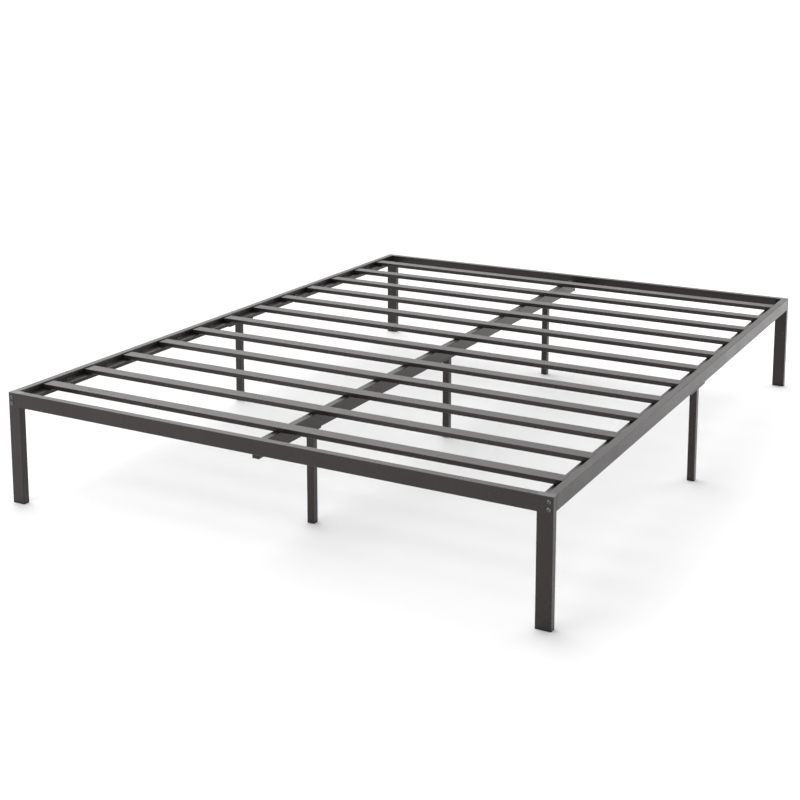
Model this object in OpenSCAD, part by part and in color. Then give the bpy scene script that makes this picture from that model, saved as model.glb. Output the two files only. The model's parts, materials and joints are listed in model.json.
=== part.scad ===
// Queen size metal platform bed frame, knock-down construction.
// Millimetres, +Z up, origin on the floor under the middle of the bed.
// The foot end is at -Y, the head end at +Y, left is -X seen from the foot.

/* [Overall size] */
// Width over the outer faces of the side rails
bed_width = 1524; // [900:1:1930]
// Length over the outer faces of the corner legs
bed_length = 2032; // [1880:1:2140]
// Height of the rails' top faces above the floor
frame_height = 300; // [220:1:450]

/* [Tubes] */
// Width of a corner leg, which is also the height of every rail
rail_height = 38; // [35:1:50]
// Depth of the flat tube of the legs and rails, and the side of the square tube of the support legs
tube_depth = 20; // [20:1:30]
// Height of the centre beam's tube
beam_height = 40; // [38:1:60]
// Wall thickness of the tubes
wall = 1.5; // [1.2:0.1:2]
// Outside corner radius of the tubes
tube_r = 2; // [1.8:0.1:3]

/* [Support legs] */
// Distance from the foot or head end to the nearer centre leg
centre_leg_inset = 265; // [200:1:400]

/* [Slats] */
// Number of slats, always even so that none lies over the joint in the rails
slat_count = 12; // [8:2:14]
// Distance from the foot or head end to the middle of the first slat
slat_inset = 125; // [90:1:160]
// Width of a slat
slat_width = 38; // [25:1:50]
// Height of a slat
slat_height = 12; // [10:1:13]

/* [Hidden] */
$fn = 48;
ENDS = ["foot", "head"];
SIDES = ["left", "right"];
STEEL_COLOR = "#403e3d";
PLASTIC_COLOR = "#161617";
BOLT_COLOR = "#6f7072";
NUT_COLOR = "#a9acae";

// Places worked out from the driving dimensions
half_width = bed_width / 2;
half_length = bed_length / 2;
rail_bottom = frame_height - rail_height;
rail_middle = frame_height - rail_height / 2;
leg_x = half_width - rail_height / 2;
leg_y = half_length - tube_depth / 2;
side_rail_x = half_width - tube_depth / 2;
side_rail_end_y = half_length - tube_depth;
joint_gap = 0.5;
// How far a cutting shape runs past the face it opens
over = 1;
min_inner_r = 0.3;

// Caps and plugs
cap_flange = 3;
cap_skirt = 14;
cap_wall = 1.6;
plug_flange = 1.5;
plug_skirt = 6;
push_fit = 0.1;
insert_r = 0.5;

// Slats, their end caps and the ledges that carry them
slat_wall = 1;
slat_r = 1.5;
slat_recess = 3;
slat_top = frame_height - slat_recess;
slat_bottom = slat_top - slat_height;
slat_pitch = (bed_length - 2 * slat_inset) / (slat_count - 1);
slat_cap_wall = 1.5;
slat_cap_length = 22;
slat_cap_end = 2;
slat_cap_insert = 18;
slat_insert_h = slat_height - 2 * slat_wall - push_fit;
slat_insert_w = slat_width - 2 * slat_wall - push_fit;
ledge_wall = 2;
ledge_width = 25;
ledge_drop = 20;
ledge_end_gap = 16;
ledge_top = slat_bottom - slat_cap_wall;
slat_end_gap = 2;
slat_cap_outer_x = half_width - tube_depth - slat_end_gap;
slat_half = slat_cap_outer_x - slat_cap_end;
peg_r = 4;
peg_hole_r = 4.2;
peg_inset = 14;
peg_x = half_width - tube_depth - peg_inset;
barb_r = 4.6;
barb_tip_r = 3.4;
barb_length = 4;
barb_slot = 1.4;
peg_play = 0.3;

// Centre beam, which the slats lie on
beam_top = slat_bottom;
beam_bottom = beam_top - beam_height;
beam_middle = beam_top - beam_height / 2;
bracket_plate = 2;
tongue_length = 60;
beam_end_y = side_rail_end_y - bracket_plate;

// Inner sleeves across the joints, and the plates on the support legs
sleeve_wall = 2;
sleeve_fit = 0.2;
sleeve_r = 0.8;
sleeve_length = 180;
plate_thickness = 3;
long_plate = 130;
short_plate = 60;
inner_bolt_y = 22;
outer_bolt_y = 52;

// M6 button-head bolts and weld nuts
bolt_r = 3;
bolt_hole_r = 3.3;
bolt_head_r = 5.25;
bolt_head_h = 3.3;
bolt_rim = 0.8;
bolt_tip = 0.8;
bolt_socket_r = 2.31;
bolt_socket_depth = 2;
nut_r = 5.77;
nut_height = 5;
nut_bore_r = 3.05;
short_bolt = 12;
bolt_past_nut = 2;
corner_bolt = tube_depth + plate_thickness + nut_height + bolt_past_nut;
// Depths of the two corner bolts below the rails' top faces
corner_bolt_drops = [12.5, 29.5];

// Outside size of a piece that is pushed into a tube of the given size
function insert_size(tube_size) = tube_size - 2 * wall - push_fit;
// Outside size of a sleeve that slides inside a tube of the given size
function sleeve_size(tube_size) = tube_size - 2 * (wall + sleeve_fit);
function end_sign(end) = end == "foot" ? -1 : 1;
function side_sign(side) = side == "left" ? -1 : 1;
function slat_name(i) = str("slat_", i < 10 ? "0" : "", i);
function centre_leg_y(end) = end_sign(end) * (half_length - centre_leg_inset);
function slat_y(i) = (i - (slat_count + 1) / 2) * slat_pitch;

// The bolts that are driven up from below, each as [x, y, height of the face under its head,
// height of its nut's lower face]
beam_plate_z = beam_bottom - plate_thickness;
beam_sleeve_nut_z = beam_bottom + wall + sleeve_fit + sleeve_wall;
joint_bolt_ys = [-outer_bolt_y, -inner_bolt_y, inner_bolt_y, outer_bolt_y];
side_joint_bolts = [
    for (s = [-1, 1], y = joint_bolt_ys)
        [s * side_rail_x, y, rail_bottom - plate_thickness, rail_bottom + wall + sleeve_fit + sleeve_wall]
];
beam_joint_bolts = [for (y = joint_bolt_ys) [0, y, beam_plate_z, beam_sleeve_nut_z]];
centre_leg_bolts = [
    for (e = ENDS, y = [-inner_bolt_y, inner_bolt_y])
        [0, centre_leg_y(e) + y, beam_plate_z, beam_bottom + wall]
];
bracket_bolts = [
    for (e = ENDS)
        [0, end_sign(e) * (beam_end_y - tongue_length / 2), beam_bottom, beam_sleeve_nut_z]
];
upward_bolts = concat(side_joint_bolts, beam_joint_bolts, centre_leg_bolts, bracket_bolts);

// Outlines

module rounded_rect(w, d, r) {
    square([w - 2 * r, d], center = true);
    square([w, d - 2 * r], center = true);
    for (x = [-1, 1], y = [-1, 1])
        translate([x * (w / 2 - r), y * (d / 2 - r)])
            circle(r = r);
}

module tube_section(w, d, t, r) {
    difference() {
        rounded_rect(w, d, r);
        rounded_rect(w - 2 * t, d - 2 * t, max(r - t, min_inner_r));
    }
}

// Tubes: upright, along Y and along X, each centred on the axis it runs along

module upright_tube(w, d, z_low, z_high) {
    translate([0, 0, z_low])
        linear_extrude(z_high - z_low)
            tube_section(w, d, wall, tube_r);
}

module tube_along_y(w, h, y_from, y_to, t = wall, r = tube_r) {
    translate([0, min(y_from, y_to), 0])
        rotate([-90, 0, 0])
            linear_extrude(abs(y_to - y_from))
                tube_section(w, h, t, r);
}

module tube_along_x(d, h, half, t = wall, r = tube_r) {
    rotate([0, 90, 0])
        linear_extrude(2 * half, center = true)
            tube_section(h, d, t, r);
}

// Holes

module hole_along_y(length) {
    rotate([90, 0, 0])
        cylinder(r = bolt_hole_r, h = length, center = true);
}

// Clearance holes of all the upward bolts, between two heights
module upward_bolt_holes(z_low, z_high) {
    for (b = upward_bolts)
        translate([b.x, b.y, z_low])
            cylinder(r = bolt_hole_r, h = z_high - z_low);
}

// Foot and head ends: a rail welded between two full-height legs

module end_rail(end) {
    color(STEEL_COLOR)
        translate([0, end_sign(end) * leg_y, rail_middle])
            tube_along_x(tube_depth, rail_height, half_width - rail_height);
}

module corner_leg(side, end) {
    color(STEEL_COLOR)
        difference() {
            translate([side_sign(side) * leg_x, end_sign(end) * leg_y, 0])
                upright_tube(rail_height, tube_depth, cap_flange, frame_height - plug_flange);
            for (drop = corner_bolt_drops)
                translate([side_sign(side) * side_rail_x, end_sign(end) * leg_y, frame_height - drop])
                    hole_along_y(tube_depth + 2 * over);
        }
}

// Side rails, each in two halves that meet over the mid leg

module side_rail(side, end) {
    e = end_sign(end);
    color(STEEL_COLOR)
        difference() {
            translate([side_sign(side) * side_rail_x, 0, rail_middle])
                tube_along_y(tube_depth, rail_height, e * joint_gap / 2, e * side_rail_end_y);
            upward_bolt_holes(rail_bottom - over, rail_middle);
        }
}

// Plate welded into the rail's end, which the corner bolts pull against
module rail_end_plate(side, end) {
    x = side_sign(side) * side_rail_x;
    y = end_sign(end) * (side_rail_end_y - plate_thickness / 2);
    color(STEEL_COLOR)
        difference() {
            translate([x, y, rail_middle])
                rotate([90, 0, 0])
                    linear_extrude(plate_thickness, center = true)
                        rounded_rect(insert_size(tube_depth), insert_size(rail_height), insert_r);
            for (drop = corner_bolt_drops)
                translate([x, y, frame_height - drop])
                    hole_along_y(plate_thickness + 2 * over);
        }
}

// Angle welded along the inside of the rail, with a hole for each slat's peg
module slat_ledge(side, end) {
    s = side_sign(side);
    e = end_sign(end);
    ledge_length = side_rail_end_y - ledge_end_gap - joint_gap;
    color(STEEL_COLOR)
        difference() {
            translate([s * (half_width - tube_depth), e * (joint_gap + ledge_length / 2), ledge_top])
                union() {
                    translate([-s * ledge_width / 2, 0, -ledge_wall / 2])
                        cube([ledge_width, ledge_length, ledge_wall], center = true);
                    translate([-s * ledge_wall / 2, 0, -ledge_drop / 2])
                        cube([ledge_wall, ledge_length, ledge_drop], center = true);
                }
            for (i = [1 : slat_count])
                translate([s * peg_x, slat_y(i), ledge_top - ledge_wall - over])
                    cylinder(r = peg_hole_r, h = ledge_wall + 2 * over);
        }
}

module joint_sleeve(x, z, height) {
    color(STEEL_COLOR)
        difference() {
            translate([x, 0, z])
                tube_along_y(
                    sleeve_size(tube_depth),
                    sleeve_size(height),
                    -sleeve_length / 2,
                    sleeve_length / 2,
                    sleeve_wall,
                    sleeve_r
                );
            upward_bolt_holes(z - height / 2, z);
        }
}

module rail_joiner(side) {
    joint_sleeve(side_sign(side) * side_rail_x, rail_middle, rail_height);
}

// Centre beam in two halves, hung on a tongue at each end

module centre_beam(end) {
    e = end_sign(end);
    color(STEEL_COLOR)
        difference() {
            translate([0, 0, beam_middle])
                tube_along_y(tube_depth, beam_height, e * joint_gap / 2, e * beam_end_y);
            upward_bolt_holes(beam_bottom - over, beam_middle);
        }
}

module beam_joiner() {
    joint_sleeve(0, beam_middle, beam_height);
}

module beam_bracket(end) {
    e = end_sign(end);
    color(STEEL_COLOR)
        difference() {
            translate([0, 0, beam_middle])
                union() {
                    translate([0, e * (side_rail_end_y - bracket_plate / 2), 0])
                        cube([tube_depth, bracket_plate, beam_height], center = true);
                    tube_along_y(
                        sleeve_size(tube_depth),
                        sleeve_size(beam_height),
                        e * beam_end_y,
                        e * (beam_end_y - tongue_length),
                        sleeve_wall,
                        sleeve_r
                    );
                }
            upward_bolt_holes(beam_bottom, beam_middle);
        }
}

// Support legs: a square tube welded under a bolted plate

module support_leg(x, y, top, plate_length) {
    color(STEEL_COLOR)
        difference() {
            translate([x, y, 0])
                union() {
                    upright_tube(tube_depth, tube_depth, cap_flange, top - plate_thickness);
                    translate([0, 0, top - plate_thickness / 2])
                        cube([tube_depth, plate_length, plate_thickness], center = true);
                }
            upward_bolt_holes(top - plate_thickness - over, top + over);
        }
}

module mid_leg(side) {
    support_leg(side_sign(side) * side_rail_x, 0, rail_bottom, long_plate);
}

module centre_leg(end) {
    support_leg(0, centre_leg_y(end), beam_bottom, short_plate);
}

module centre_leg_middle() {
    support_leg(0, 0, beam_bottom, long_plate);
}

// Plastic caps under the legs and plugs in the tops of the corner legs

module tube_cap(w, d, flange, skirt) {
    color(PLASTIC_COLOR) {
        linear_extrude(flange)
            rounded_rect(w, d, tube_r);
        translate([0, 0, flange])
            linear_extrude(skirt)
                tube_section(insert_size(w), insert_size(d), cap_wall, insert_r);
    }
}

module corner_leg_cap(side, end) {
    translate([side_sign(side) * leg_x, end_sign(end) * leg_y, 0])
        tube_cap(rail_height, tube_depth, cap_flange, cap_skirt);
}

module corner_leg_plug(side, end) {
    translate([side_sign(side) * leg_x, end_sign(end) * leg_y, frame_height])
        rotate([180, 0, 0])
            tube_cap(rail_height, tube_depth, plug_flange, plug_skirt);
}

module support_leg_cap(x, y) {
    translate([x, y, 0])
        tube_cap(tube_depth, tube_depth, cap_flange, cap_skirt);
}

// Slats and the snap-in caps on their ends

module slat(i) {
    color(STEEL_COLOR)
        translate([0, slat_y(i), slat_bottom + slat_height / 2])
            tube_along_x(slat_width, slat_height, slat_half, slat_wall, slat_r);
}

// Cap of a right-hand slat end, with the slat's end face at the origin: a flange over the end,
// a sole between the slat and the ledge, and a hollow insert inside the slat
module slat_end_cap() {
    rotate([0, 90, 0]) {
        difference() {
            translate([slat_cap_wall / 2, 0, slat_cap_end - slat_cap_length])
                linear_extrude(slat_cap_length)
                    rounded_rect(slat_height + slat_cap_wall, slat_width, slat_r);
            translate([-slat_height / 2 - over, -slat_width / 2 - over, -slat_cap_length])
                cube([slat_height + over, slat_width + 2 * over, slat_cap_length]);
        }
        translate([0, 0, -slat_cap_insert])
            linear_extrude(slat_cap_insert)
                tube_section(slat_insert_h, slat_insert_w, slat_cap_wall, insert_r);
    }
}

module snap_peg() {
    neck = ledge_wall + peg_play;
    peg_length = neck + barb_length;
    difference() {
        union() {
            translate([0, 0, -neck])
                cylinder(r = peg_r, h = neck);
            translate([0, 0, -peg_length])
                cylinder(r1 = barb_tip_r, r2 = barb_r, h = barb_length);
        }
        translate([0, 0, -peg_length])
            cube([barb_slot, 2 * (barb_r + over), 2 * barb_length], center = true);
    }
}

module slat_end_caps() {
    color(PLASTIC_COLOR)
        for (i = [1 : slat_count], s = [0, 1])
            mirror([s, 0, 0]) {
                translate([slat_half, slat_y(i), slat_bottom + slat_height / 2])
                    slat_end_cap();
                translate([peg_x, slat_y(i), ledge_top])
                    snap_peg();
            }
}

// Fasteners

// Button-head bolt: the head rises from the origin along +Z, the shank goes down
module button_bolt(length) {
    dome_h = bolt_head_h - bolt_rim;
    dome_r = (bolt_head_r * bolt_head_r + dome_h * dome_h) / (2 * dome_h);
    difference() {
        union() {
            intersection() {
                cylinder(r = bolt_head_r, h = bolt_head_h);
                translate([0, 0, bolt_head_h - dome_r])
                    sphere(r = dome_r);
            }
            translate([0, 0, bolt_tip - length])
                cylinder(r = bolt_r, h = length - bolt_tip);
            translate([0, 0, -length])
                cylinder(r1 = bolt_r - bolt_tip, r2 = bolt_r, h = bolt_tip);
        }
        translate([0, 0, bolt_head_h - bolt_socket_depth])
            cylinder(r = bolt_socket_r, h = bolt_socket_depth + over, $fn = 6);
    }
}

module weld_nut() {
    difference() {
        cylinder(r = nut_r, h = nut_height, $fn = 6);
        translate([0, 0, -over])
            cylinder(r = nut_bore_r, h = nut_height + 2 * over);
    }
}

module corner_bolts() {
    color(BOLT_COLOR)
        for (s = [-1, 1], e = [0, 1], drop = corner_bolt_drops)
            mirror([0, e, 0])
                translate([s * side_rail_x, -half_length, frame_height - drop])
                    rotate([90, 0, 0])
                        button_bolt(corner_bolt);
}

module joint_bolts() {
    color(BOLT_COLOR)
        for (b = upward_bolts)
            translate([b.x, b.y, b.z])
                rotate([180, 0, 0])
                    button_bolt(short_bolt);
}

module weld_nuts() {
    color(NUT_COLOR) {
        for (b = upward_bolts)
            translate([b.x, b.y, b[3]])
                rotate([0, 0, 30])
                    weld_nut();
        for (s = [-1, 1], e = [0, 1], drop = corner_bolt_drops)
            mirror([0, e, 0])
                translate([s * side_rail_x, plate_thickness - side_rail_end_y, frame_height - drop])
                    rotate([-90, 30, 0])
                        weld_nut();
    }
}

for (e = ENDS) {
    end_rail(e);
    centre_beam(e);
    beam_bracket(e);
    centre_leg(e);
    support_leg_cap(0, centre_leg_y(e));
}
for (s = SIDES) {
    rail_joiner(s);
    mid_leg(s);
    support_leg_cap(side_sign(s) * side_rail_x, 0);
}
for (e = ENDS, s = SIDES) {
    corner_leg(s, e);
    side_rail(s, e);
    rail_end_plate(s, e);
    slat_ledge(s, e);
    corner_leg_cap(s, e);
    corner_leg_plug(s, e);
}
beam_joiner();
centre_leg_middle();
support_leg_cap(0, 0);  // centre_leg_cap_middle
for (i = [1 : slat_count])
    slat(i);
slat_end_caps();
corner_bolts();
joint_bolts();
weld_nuts();
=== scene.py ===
"""Looks, light and camera for a queen size metal bed frame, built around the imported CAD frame.

Metres, +Z up, the foot end at -Y. The CAD tubes, caps and fasteners keep their shapes and get
procedural materials here; the weld beads that join them are new pieces.
"""
import json
import math
import random

import bmesh
import bpy
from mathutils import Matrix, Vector


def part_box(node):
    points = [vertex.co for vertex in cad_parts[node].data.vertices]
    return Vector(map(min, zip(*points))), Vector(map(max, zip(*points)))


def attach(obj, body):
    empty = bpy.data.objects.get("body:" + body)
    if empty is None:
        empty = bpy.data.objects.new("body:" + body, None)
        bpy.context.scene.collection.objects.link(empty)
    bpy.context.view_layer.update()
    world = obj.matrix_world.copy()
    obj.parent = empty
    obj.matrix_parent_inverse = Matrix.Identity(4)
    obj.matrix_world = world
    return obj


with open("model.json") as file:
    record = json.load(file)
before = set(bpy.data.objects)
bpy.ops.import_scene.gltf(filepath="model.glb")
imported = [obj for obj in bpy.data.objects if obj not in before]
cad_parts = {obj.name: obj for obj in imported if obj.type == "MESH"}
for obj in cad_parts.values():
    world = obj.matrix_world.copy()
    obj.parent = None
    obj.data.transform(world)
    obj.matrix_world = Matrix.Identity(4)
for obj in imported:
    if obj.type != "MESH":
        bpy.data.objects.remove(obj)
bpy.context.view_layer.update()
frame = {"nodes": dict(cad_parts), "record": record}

random.seed(11)

# Camera at the photograph's viewing angle: degrees to the left of +Y and below level, the lens
# in millimetres and the shift in widths of the picture
CAMERA_PLACE = (1.810, -3.586, 1.381)
CAMERA_YAW = 28.78
CAMERA_PITCH = 9.37
CAMERA_LENS = 62.76
CAMERA_SHIFT_Y = -0.25

# Surroundings: brightness near the horizon and overhead, and the two values of a direction's Z
# between which the one turns into the other
WALL_GLOW = 1.08
CEILING_GLOW = 0.15
GLOW_TURNS = (0.45, 0.95)
# Side of the square floor
FLOOR_SIZE = 160.0

# Key light: the direction it comes from, its strength and its spread in degrees
KEY_FROM = (-0.55, 0.45, 0.95)
KEY_STRENGTH = 2.7
KEY_SPREAD = 60.0

# Soft square lights beyond both ends of the frame
FILLS = {
    "front_fill": {
        "place": (-0.9, -2.5, 2.2),
        "target": (-0.8, -2.2, 0.0),
        "side": 1.8,
        "power": 26.0,
    },
    "rear_fill": {
        "place": (1.7, 2.5, 2.0),
        "target": (1.3, 2.1, 0.0),
        "side": 1.6,
        "power": 34.0,
    },
}

# Linear colours, the specular tint among them
COAT = {
    "deep": (0.0120, 0.0100, 0.0096),
    "pale": (0.0172, 0.0144, 0.0138),
    "fleck": (0.022, 0.020, 0.019),
    "worn": (0.060, 0.056, 0.053),
    "dust": (0.16, 0.155, 0.148),
    "specular": (1.0, 0.92, 0.90),
}
PLASTIC_SCUFF = (0.035, 0.035, 0.035)
# Colour of the painted shade laid into the bolts' and nuts' recesses and where they meet other parts
PAINTED_RECESS_SHADE = (0.012, 0.011, 0.010)
FLOOR_DULL = (0.765, 0.765, 0.77)
FLOOR_CLEAN = (0.80, 0.80, 0.80)

# The range in which most of a noise texture's values lie
NOISE_SPAN = (0.3, 0.7)

# Index of a CAD box's lowest and highest corner
LOW, HIGH = 0, 1
# The direction of each end along Y, and of each side along X
ENDS = {"foot": -1, "head": 1}
SIDES = {"left": -1, "right": 1}

# Outside corner radius of every tube
TUBE_CORNER = 0.002
# The support legs: half their tube's width, and the thickness of the plate welded on it
SUPPORT_TUBE_HALF = 0.010
SUPPORT_PLATE = 0.003
SUPPORT_LEGS = (
    "mid_leg_left",
    "mid_leg_right",
    "centre_leg_foot",
    "centre_leg_middle",
    "centre_leg_head",
)

# Weld beads: points across a bead's face, rings along it for each ripple, the least number of
# rings, and how steeply its ends rise (6 rounds off a sixth of its length at each end)
BEAD_POINTS = 7
RINGS_PER_RIPPLE = 5
FEWEST_RINGS = 8
END_RISE = 6.0
# Length of a stitch weld
STITCH_LENGTH = 0.025


# --------------------------------------------------------------------- helpers

def add_object(name, data):
    """A new object in the scene that holds the given mesh, light or camera."""
    thing = bpy.data.objects.new(name, data)
    bpy.context.scene.collection.objects.link(thing)
    return thing


def add_node(tree, kind, **settings):
    """A shader node with its attributes and its inputs' values set by name."""
    node = tree.nodes.new(kind)
    for key, value in settings.items():
        if hasattr(node, key):
            setattr(node, key, value)
        else:
            node.inputs[key.replace("_", " ")].default_value = value
    return node


def link(tree, source, target):
    """Joins two sockets."""
    tree.links.new(source, target)


def feed(tree, socket, value):
    """Gives an input socket a number, an RGB triple or another node's output."""
    if isinstance(value, tuple):
        socket.default_value = (*value, 1.0)
    elif isinstance(value, (int, float)):
        socket.default_value = value
    else:
        link(tree, value, socket)


def math_node(tree, operation, a, b):
    """A Math node's output; a and b are sockets or numbers."""
    node = add_node(tree, "ShaderNodeMath", operation=operation)
    feed(tree, node.inputs[0], a)
    feed(tree, node.inputs[1], b)
    return node.outputs[0]


def mix_colour(tree, factor, a, b):
    """A colour mix; a and b are RGB triples or sockets, factor a socket or a number."""
    node = add_node(tree, "ShaderNodeMix", data_type="RGBA")
    factor_input, a_input, b_input = node.inputs[0], node.inputs[6], node.inputs[7]
    feed(tree, factor_input, factor)
    feed(tree, a_input, a)
    feed(tree, b_input, b)
    return node.outputs[2]


def ramp(tree, value, source, target=(0.0, 1.0)):
    """Rescales a socket's value from the source range to the target range, clamped."""
    node = tree.nodes.new("ShaderNodeMapRange")
    for socket, number in zip(node.inputs[1:5], (*source, *target)):
        socket.default_value = number
    link(tree, value, node.inputs[0])
    return node.outputs[0]


def noise(tree, vector, scale, detail=2.0, roughness=0.5, stretch=None):
    """Noise value at a scale per metre, optionally stretched along the axes."""
    if stretch is not None:
        mapping = add_node(tree, "ShaderNodeMapping", Scale=stretch)
        link(tree, vector, mapping.inputs["Vector"])
        vector = mapping.outputs["Vector"]
    node = add_node(tree, "ShaderNodeTexNoise", Scale=scale, Detail=detail, Roughness=roughness)
    link(tree, vector, node.inputs["Vector"])
    return node.outputs["Fac"]


def start_material(name):
    """A new node material with its tree, Principled shader and object coordinates."""
    material = bpy.data.materials.new(name)
    material.use_nodes = True
    tree = material.node_tree
    tree.nodes.clear()
    shader = tree.nodes.new("ShaderNodeBsdfPrincipled")
    output = tree.nodes.new("ShaderNodeOutputMaterial")
    link(tree, shader.outputs[0], output.inputs[0])
    coordinates = tree.nodes.new("ShaderNodeTexCoord").outputs["Object"]
    return material, tree, shader, coordinates


def rounded_edges(tree, radius):
    """The surface normal as if every sharp edge had the given radius."""
    return add_node(tree, "ShaderNodeBevel", samples=4, Radius=radius).outputs[0]


def edge_mask(tree, radius, bend):
    """0 on flat faces, rising to 1 along edges, between two amounts of bend in the normal."""
    true_normal = tree.nodes.new("ShaderNodeNewGeometry").outputs["Normal"]
    dot = add_node(tree, "ShaderNodeVectorMath", operation="DOT_PRODUCT")
    link(tree, rounded_edges(tree, radius), dot.inputs[0])
    link(tree, true_normal, dot.inputs[1])
    return ramp(tree, math_node(tree, "SUBTRACT", 1.0, dot.outputs["Value"]), bend)


def bump(tree, height, distance, normal, strength):
    """A Bump node on top of another normal."""
    node = add_node(tree, "ShaderNodeBump", Strength=strength, Distance=distance)
    link(tree, height, node.inputs["Height"])
    link(tree, normal, node.inputs["Normal"])
    return node.outputs[0]


# ------------------------------------------------------------------- materials

def powder_coat(name, edge_wear):
    """Satin charcoal black powder coat: orange peel, fine grain, rubbed edges and a trace of dust."""
    material, tree, shader, place = start_material(name)
    fleck_strength, dust_strength = 0.35, 0.06
    rub_polish, dust_roughness = 0.08, 1.6

    cloud = ramp(tree, noise(tree, place, scale=5.0, detail=3.0), source=(0.35, 0.65))
    colour = mix_colour(tree, cloud, COAT["deep"], COAT["pale"])
    fleck = noise(tree, place, scale=900.0, detail=1.0)
    fleck = ramp(tree, fleck, source=(0.62, 0.78), target=(0.0, fleck_strength))
    colour = mix_colour(tree, fleck, colour, COAT["fleck"])

    patches = noise(tree, place, scale=60.0, detail=4.0, roughness=0.65)
    patches = ramp(tree, patches, source=(0.45, 0.7), target=(0.0, edge_wear))
    edges = edge_mask(tree, radius=0.0012, bend=(0.02, 0.22))
    rub = math_node(tree, "MULTIPLY", edges, patches)
    colour = mix_colour(tree, rub, colour, COAT["worn"])

    facing = tree.nodes.new("ShaderNodeSeparateXYZ")
    link(tree, tree.nodes.new("ShaderNodeNewGeometry").outputs["Normal"], facing.inputs[0])
    upward = ramp(tree, facing.outputs["Z"], source=(0.7, 1.0), target=(0.0, dust_strength))
    drifts = noise(tree, place, scale=22.0, detail=5.0, roughness=0.7)
    settled = math_node(tree, "MULTIPLY", upward, ramp(tree, drifts, source=(0.42, 0.72)))
    colour = mix_colour(tree, settled, colour, COAT["dust"])
    link(tree, colour, shader.inputs["Base Color"])

    handled = noise(tree, place, scale=9.0, detail=4.0, roughness=0.6)
    rough = ramp(tree, handled, NOISE_SPAN, target=(0.24, 0.33))
    rough = math_node(tree, "SUBTRACT", rough, math_node(tree, "MULTIPLY", rub, rub_polish))
    rough = math_node(tree, "ADD", rough, math_node(tree, "MULTIPLY", settled, dust_roughness))
    link(tree, rough, shader.inputs["Roughness"])

    orange_peel = noise(tree, place, scale=420.0)
    grain = noise(tree, place, scale=1700.0, detail=1.0)
    normal = rounded_edges(tree, radius=0.0005)
    normal = bump(tree, orange_peel, distance=0.00006, normal=normal, strength=0.8)
    normal = bump(tree, grain, distance=0.00002, normal=normal, strength=0.6)
    link(tree, normal, shader.inputs["Normal"])
    shader.inputs["IOR"].default_value = 1.49
    shader.inputs["Specular IOR Level"].default_value = 0.42
    shader.inputs["Specular Tint"].default_value = (*COAT["specular"], 1.0)
    return material


def moulded_plastic(name, dark, light, rough, specular, gloss_coat):
    """Moulded black polyethylene with a fine spark-eroded grain and scuffed rims."""
    material, tree, shader, place = start_material(name)
    scuff_strength = 0.6

    colour = mix_colour(tree, noise(tree, place, scale=40.0, detail=3.0), dark, light)
    scratches = noise(tree, place, scale=180.0, detail=4.0)
    scratches = ramp(tree, scratches, source=(0.40, 0.68), target=(0.0, scuff_strength))
    rims = edge_mask(tree, radius=0.0010, bend=(0.02, 0.20))
    colour = mix_colour(tree, math_node(tree, "MULTIPLY", rims, scratches), colour, PLASTIC_SCUFF)
    link(tree, colour, shader.inputs["Base Color"])

    patches = noise(tree, place, scale=70.0, detail=3.0)
    link(tree, ramp(tree, patches, NOISE_SPAN, target=rough), shader.inputs["Roughness"])

    grain = noise(tree, place, scale=2600.0)
    normal = rounded_edges(tree, radius=0.0006)
    normal = bump(tree, grain, distance=0.00004, normal=normal, strength=0.7)
    link(tree, normal, shader.inputs["Normal"])
    shader.inputs["IOR"].default_value = 1.5
    shader.inputs["Specular IOR Level"].default_value = specular
    shader.inputs["Coat Weight"].default_value = gloss_coat
    shader.inputs["Coat Roughness"].default_value = 0.18
    return material


def plated_steel(name, dark, light, edge, rough):
    """Plated steel with fine turning marks, soft tarnish and bright edges, with painted shade darkening
    its recesses and where it meets other parts.
    """
    material, tree, shader, place = start_material(name)
    edge_strength, recess_shade_strength = 0.4, 0.85

    tarnish = noise(tree, place, scale=120.0, detail=4.0, roughness=0.6)
    colour = mix_colour(tree, ramp(tree, tarnish, NOISE_SPAN), dark, light)
    edges = edge_mask(tree, radius=0.0004, bend=(0.02, 0.3))
    colour = mix_colour(tree, math_node(tree, "MULTIPLY", edges, edge_strength), colour, edge)
    # Painted shade: an occlusion mask darkens the colour in recesses, such as the socket, and where the
    # head meets the part under it
    openness = add_node(tree, "ShaderNodeAmbientOcclusion", samples=8, Distance=0.004).outputs["AO"]
    painted_shade = ramp(tree, openness, source=(0.35, 0.85), target=(recess_shade_strength, 0.0))
    colour = mix_colour(tree, painted_shade, colour, PAINTED_RECESS_SHADE)
    link(tree, colour, shader.inputs["Base Color"])

    patches = noise(tree, place, scale=500.0, detail=3.0)
    link(tree, ramp(tree, patches, NOISE_SPAN, target=rough), shader.inputs["Roughness"])

    turning = noise(tree, place, scale=2400.0, detail=1.0, stretch=(1.0, 0.15, 1.0))
    normal = rounded_edges(tree, radius=0.0003)
    normal = bump(tree, turning, distance=0.00002, normal=normal, strength=0.5)
    link(tree, normal, shader.inputs["Normal"])
    shader.inputs["Metallic"].default_value = 1.0
    return material


def floor_material():
    """Pale seamless studio floor with a barely visible grain."""
    material, tree, shader, place = start_material("studio_floor")
    cloud = noise(tree, place, scale=0.8, detail=3.0)
    link(tree, mix_colour(tree, cloud, FLOOR_DULL, FLOOR_CLEAN), shader.inputs["Base Color"])
    rough = ramp(tree, noise(tree, place, scale=12.0), NOISE_SPAN, target=(0.78, 0.88))
    link(tree, rough, shader.inputs["Roughness"])
    return material


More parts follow.
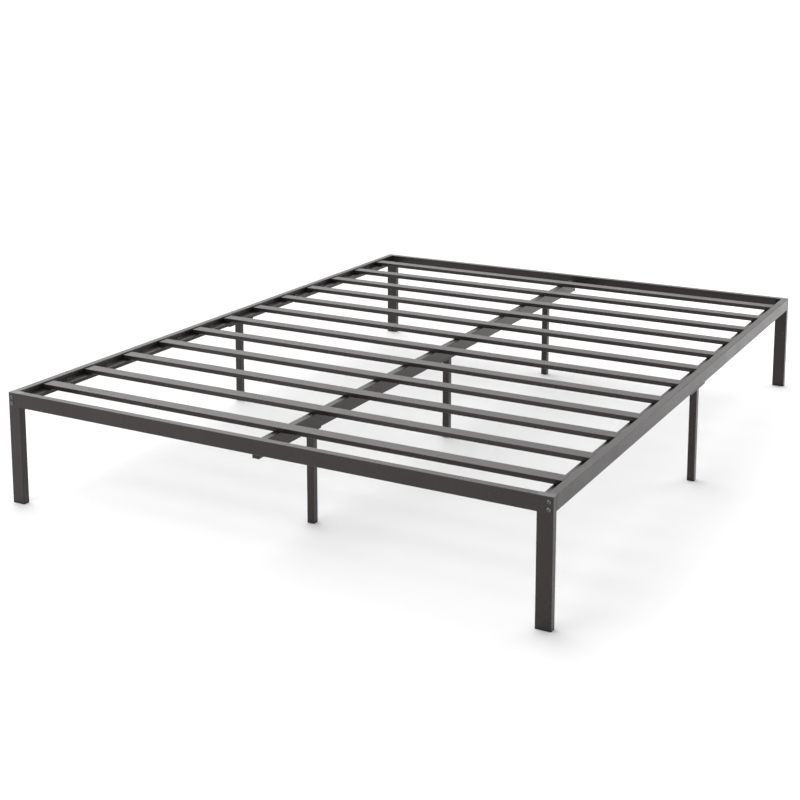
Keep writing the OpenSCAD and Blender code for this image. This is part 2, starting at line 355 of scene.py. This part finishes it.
def make_finishes():
    """The materials of the record's slots, and the glossier plastic of the legs' top plugs."""
    return {
        "powder_coat": powder_coat("powder_coat_charcoal", edge_wear=0.55),
        "cap_plastic": moulded_plastic(
            "cap_plastic_black",
            dark=(0.0045, 0.0045, 0.0048),
            light=(0.0085, 0.0085, 0.0090),
            rough=(0.46, 0.62),
            specular=0.3,
            gloss_coat=0.0,
        ),
        "plug_plastic": moulded_plastic(
            "cap_plastic_satin",
            dark=(0.012, 0.012, 0.0123),
            light=(0.020, 0.020, 0.0205),
            rough=(0.26, 0.36),
            specular=0.5,
            gloss_coat=0.3,
        ),
        "bolt_steel": plated_steel(
            "bolt_black_nickel",
            dark=(0.115, 0.113, 0.113),
            light=(0.175, 0.172, 0.172),
            edge=(0.28, 0.28, 0.28),
            rough=(0.24, 0.36),
        ),
        "nut_steel": plated_steel(
            "nut_zinc",
            dark=(0.42, 0.43, 0.44),
            light=(0.60, 0.60, 0.60),
            edge=(0.70, 0.70, 0.70),
            rough=(0.30, 0.45),
        ),
    }


def dress_cad_nodes(finishes):
    """Gives each CAD node the material of its record slot; the legs' plugs have a glossier one."""
    slots = {row["node"]: row["material_slot"] for row in frame["record"]["subparts"]}
    for name, node in frame["nodes"].items():
        finish = finishes["plug_plastic" if "_leg_plug_" in name else slots[name]]
        for slot in node.material_slots:
            slot.link = "OBJECT"
            slot.material = finish


# ----------------------------------------------------------------- weld beads

def ring_count(length, ripple):
    """The number of steps along a bead of a given length, with a given ripple spacing."""
    return max(FEWEST_RINGS, round(length / ripple * RINGS_PER_RIPPLE))


def end_fade(along):
    """1 along a bead, falling to 0 at its start (along 0) and its end (along 1)."""
    return min(1.0, END_RISE * min(along, 1.0 - along))


def bead_profile(angle, crown):
    """Reach of a fillet bead at an angle between its two walls: 0 is flat, 1 is a quarter circle."""
    flat = 1.0 / (math.cos(angle) + math.sin(angle))
    return flat * (1.0 - crown) + crown


def fillet_bead(mesh, start, end, wall_a, wall_b, size=0.003, ripple=0.0016):
    """A fillet weld in the corner between two walls, from start to end along the corner.

    wall_a and wall_b point from the corner along each wall. The bead has overlapping ripples,
    a wandering width and rounded ends, and its root is sunk slightly into both walls.
    """
    crown, sink, blunt = 0.35, 0.00015, 0.3
    ripple_floor, ripple_height, ripple_lead = 0.96, 0.06, 0.9
    wander_turns, wander_wide, wander_fine = 7.3, 0.08, 0.012
    start, end = Vector(start), Vector(end)
    wall_a, wall_b = Vector(wall_a), Vector(wall_b)
    run = end - start
    count = ring_count(run.length, ripple)
    phase = random.uniform(0.0, math.tau)
    rings = []
    for i in range(count + 1):
        along = i / count
        fade = end_fade(along)
        taper = blunt + (1.0 - blunt) * math.sqrt(fade * (2.0 - fade))
        wander = 1.0 + wander_wide * math.sin(wander_turns * along + phase)
        wander += random.uniform(-wander_fine, wander_fine)
        root = start + run * along - (wall_a + wall_b) * sink
        ring = [mesh.verts.new(root)]
        for j in range(BEAD_POINTS):
            angle = math.pi / 2 * j / (BEAD_POINTS - 1)
            lead = ripple_lead * math.sin(2.0 * angle)
            wave = abs(math.sin(math.pi * (i / RINGS_PER_RIPPLE) + lead))
            reach = size * taper * wander * bead_profile(angle, crown)
            reach *= ripple_floor + ripple_height * wave
            direction = wall_a * math.cos(angle) + wall_b * math.sin(angle)
            ring.append(mesh.verts.new(root + direction * reach))
        rings.append(ring)
    skin_rings(mesh, rings)


def butt_bead(mesh, start, end, across, outward, width=0.0042, height=0.0009, ripple=0.0019):
    """A low rippled weld bead along a seam in a flat face, with its root sunk into the face."""
    sink, blunt, wander_fine = 0.0004, 0.4, 0.03
    ripple_floor, ripple_height, ripple_lead = 0.72, 0.38, 1.1
    start, end = Vector(start), Vector(end)
    across, outward = Vector(across), Vector(outward)
    run = end - start
    count = ring_count(run.length, ripple)
    rings = []
    for i in range(count + 1):
        along = i / count
        taper = min(1.0, blunt + end_fade(along))
        wander = random.uniform(1.0 - wander_fine, 1.0 + wander_fine)
        middle = start + run * along
        ring = [mesh.verts.new(middle - outward * sink)]
        for j in range(BEAD_POINTS):
            t = 2.0 * j / (BEAD_POINTS - 1) - 1.0
            dome = 1.0 - t * t
            wave = abs(math.sin(math.pi * (i / RINGS_PER_RIPPLE) + ripple_lead * dome))
            rise = height * taper * dome * (ripple_floor + ripple_height * wave)
            place = middle + across * (t * width / 2 * taper * wander) + outward * rise
            ring.append(mesh.verts.new(place))
        rings.append(ring)
    skin_rings(mesh, rings)


def ground_seam(mesh, x, y, z_low, z_high, to_leg, outward):
    """A weld ground flush over the groove between a leg's rounded corner and the rail's end.

    Its face is a low crown that dips under the flat faces on both sides and at both ends.
    """
    steps_across, steps_along, steps_fade = 8, 30, 2
    half_width, crown, dip, unevenness = 0.0045, 0.00005, 0.00011, 0.00001
    middle = x + to_leg * TUBE_CORNER / 2
    rings = []
    for i in range(steps_along + 1):
        z = z_low + (z_high - z_low) * i / steps_along
        hollow = random.uniform(0.0, unevenness)
        fade = max(0.0, 1.0 - min(i, steps_along - i) / steps_fade)
        ring = []
        for j in range(steps_across + 1):
            t = 2.0 * j / steps_across - 1.0
            rise = crown - hollow - dip * max(t * t, fade)
            ring.append(mesh.verts.new((middle + to_leg * half_width * t, y + outward * rise, z)))
        ring.append(mesh.verts.new((middle, y - outward * TUBE_CORNER, z)))
        rings.append(ring)
    skin_rings(mesh, rings)


def skin_rings(mesh, rings):
    """Smooth faces between neighbouring rings of vertices, and a flat cap on each end."""
    size = len(rings[0])
    for near, far in zip(rings, rings[1:]):
        for j in range(size):
            k = (j + 1) % size
            mesh.faces.new((near[j], near[k], far[k], far[j])).smooth = True
    mesh.faces.new(list(reversed(rings[0])))
    mesh.faces.new(rings[-1])


def weld_piece(name, material, make):
    """One object that holds a group of beads, drawn by make(mesh)."""
    mesh = bmesh.new()
    make(mesh)
    bmesh.ops.recalc_face_normals(mesh, faces=mesh.faces)
    data = bpy.data.meshes.new(name)
    mesh.to_mesh(data)
    mesh.free()
    data.materials.append(material)
    piece = add_object(name, data)
    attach(piece, "root")


def corner_welds(mesh):
    """Each end rail's joints with its legs: fillet below, raised bead inside, ground seam outside.

    The insets are how far inside the rail's faces the fillet and the bead end.
    """
    outer_inset, inner_inset, rim_inset = 0.0025, 0.0020, 0.001
    for end, e in ENDS.items():
        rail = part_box(f"{end}_rail")
        outer_y = rail[LOW].y if e < 0 else rail[HIGH].y
        inner_y = rail[HIGH].y if e < 0 else rail[LOW].y
        bottom, top = rail[LOW].z, rail[HIGH].z
        for side, s in SIDES.items():
            x = s * rail[HIGH].x
            fillet_bead(
                mesh,
                (x, outer_y - e * outer_inset, bottom),
                (x, inner_y + e * inner_inset, bottom),
                wall_a=(-s, 0, 0),
                wall_b=(0, 0, -1),
            )
            butt_bead(
                mesh,
                (x, inner_y, bottom + rim_inset),
                (x, inner_y, top - rim_inset),
                across=(1, 0, 0),
                outward=(0, -e, 0),
            )
            seam_top = min(top - TUBE_CORNER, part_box(f"{end}_leg_{side}")[HIGH].z)
            ground_seam(mesh, x, outer_y, bottom + TUBE_CORNER / 2, seam_top, to_leg=s, outward=e)


def ledge_welds(mesh):
    """Stitch welds along the slat ledges, midway between the slats, with none over the rails' joint."""
    half_stitch = STITCH_LENGTH / 2
    slats = sorted(name for name in frame["nodes"] if name.startswith("slat_") and name[-1].isdigit())
    rows = sorted(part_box(name)[LOW].y for name in slats)
    slat_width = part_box(slats[0])[HIGH].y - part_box(slats[0])[LOW].y
    for side, s in SIDES.items():
        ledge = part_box(f"slat_ledge_{side}_foot")
        wall_x = ledge[LOW].x if s < 0 else ledge[HIGH].x
        for near, far in zip(rows, rows[1:]):
            middle = (near + far + slat_width) / 2
            if abs(middle) < half_stitch:
                continue
            fillet_bead(
                mesh,
                (wall_x, middle - half_stitch, ledge[HIGH].z),
                (wall_x, middle + half_stitch, ledge[HIGH].z),
                wall_a=(-s, 0, 0),
                wall_b=(0, 0, 1),
            )


def leg_plate_welds(mesh):
    """Fillets on both free sides of each support leg, under its bolted plate."""
    reach = SUPPORT_TUBE_HALF - TUBE_CORNER
    for name in SUPPORT_LEGS:
        low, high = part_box(name)
        x, y = (low.x + high.x) / 2, (low.y + high.y) / 2
        for e in ENDS.values():
            fillet_bead(
                mesh,
                (x - reach, y + e * SUPPORT_TUBE_HALF, high.z - SUPPORT_PLATE),
                (x + reach, y + e * SUPPORT_TUBE_HALF, high.z - SUPPORT_PLATE),
                wall_a=(0, e, 0),
                wall_b=(0, 0, -1),
            )


def bracket_welds(mesh):
    """Beads round the beam brackets' plates, on the inner faces of the end rails.

    The insets are how far from the plates' top corners the beads end.
    """
    bead_size, top_inset, side_inset = 0.002, 0.0005, 0.001
    for end, e in ENDS.items():
        low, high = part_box(f"beam_bracket_{end}")
        rail_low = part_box(f"{end}_rail")[LOW].z
        wall_y = low.y if e < 0 else high.y
        for s in SIDES.values():
            x = high.x if s > 0 else low.x
            fillet_bead(
                mesh,
                (x, wall_y, rail_low + TUBE_CORNER),
                (x, wall_y, high.z - top_inset),
                wall_a=(s, 0, 0),
                wall_b=(0, -e, 0),
                size=bead_size,
            )
        fillet_bead(
            mesh,
            (low.x + side_inset, wall_y, high.z),
            (high.x - side_inset, wall_y, high.z),
            wall_a=(0, 0, 1),
            wall_b=(0, -e, 0),
            size=bead_size,
        )


def make_welds():
    """All the weld beads, in a powder coat that is hardly rubbed."""
    coat = powder_coat("powder_coat_welds", edge_wear=0.10)
    weld_piece("corner_welds", coat, corner_welds)
    weld_piece("ledge_welds", coat, ledge_welds)
    weld_piece("leg_plate_welds", coat, leg_plate_welds)
    weld_piece("bracket_welds", coat, bracket_welds)


# ------------------------------------------------------------ studio and camera

def make_floor():
    """A pale floor under the frame, which isn't part of it."""
    half = FLOOR_SIZE / 2
    corners = [(-half, -half, 0), (half, -half, 0), (half, half, 0), (-half, half, 0)]
    data = bpy.data.meshes.new("studio_floor")
    data.from_pydata(corners, [], [(0, 1, 2, 3)])
    data.materials.append(floor_material())
    add_object("studio_floor", data)


def make_surroundings():
    """White surroundings that darken towards the ceiling."""
    world = bpy.data.worlds.new("studio")
    world.use_nodes = True
    tree = world.node_tree
    direction = tree.nodes.new("ShaderNodeSeparateXYZ")
    link(tree, tree.nodes.new("ShaderNodeTexCoord").outputs["Generated"], direction.inputs[0])
    background = tree.nodes["Background"]
    background.inputs["Color"].default_value = (1.0, 1.0, 1.0, 1.0)
    glow = ramp(tree, direction.outputs["Z"], GLOW_TURNS, (WALL_GLOW, CEILING_GLOW))
    link(tree, glow, background.inputs["Strength"])
    bpy.context.scene.world = world


def make_key_light():
    """A broad key light from above, the left and the head end."""
    lamp = bpy.data.lights.new("key", "SUN")
    lamp.energy = KEY_STRENGTH
    lamp.angle = math.radians(KEY_SPREAD)
    add_object("key", lamp).rotation_euler = Vector(KEY_FROM).to_track_quat("Z", "Y").to_euler()


def make_fill_light(name, place, target, side, power):
    """A square soft light aimed at a point."""
    lamp = bpy.data.lights.new(name, "AREA")
    lamp.shape = "SQUARE"
    lamp.size = side
    lamp.energy = power
    light = add_object(name, lamp)
    light.location = place
    light.rotation_euler = (Vector(target) - Vector(place)).to_track_quat("-Z", "Y").to_euler()


def make_camera():
    """The camera at the photograph's viewing angle."""
    data = bpy.data.cameras.new("camera")
    data.lens = CAMERA_LENS
    data.shift_y = CAMERA_SHIFT_Y
    camera = add_object("camera", data)
    camera.location = CAMERA_PLACE
    camera.rotation_euler = (math.radians(90.0 - CAMERA_PITCH), 0.0, math.radians(CAMERA_YAW))
    bpy.context.scene.camera = camera


bpy.context.scene.view_settings.view_transform = "Standard"
make_camera()
make_surroundings()
make_key_light()
for fill_name, fill in FILLS.items():
    make_fill_light(fill_name, **fill)
make_floor()
dress_cad_nodes(make_finishes())
make_welds()
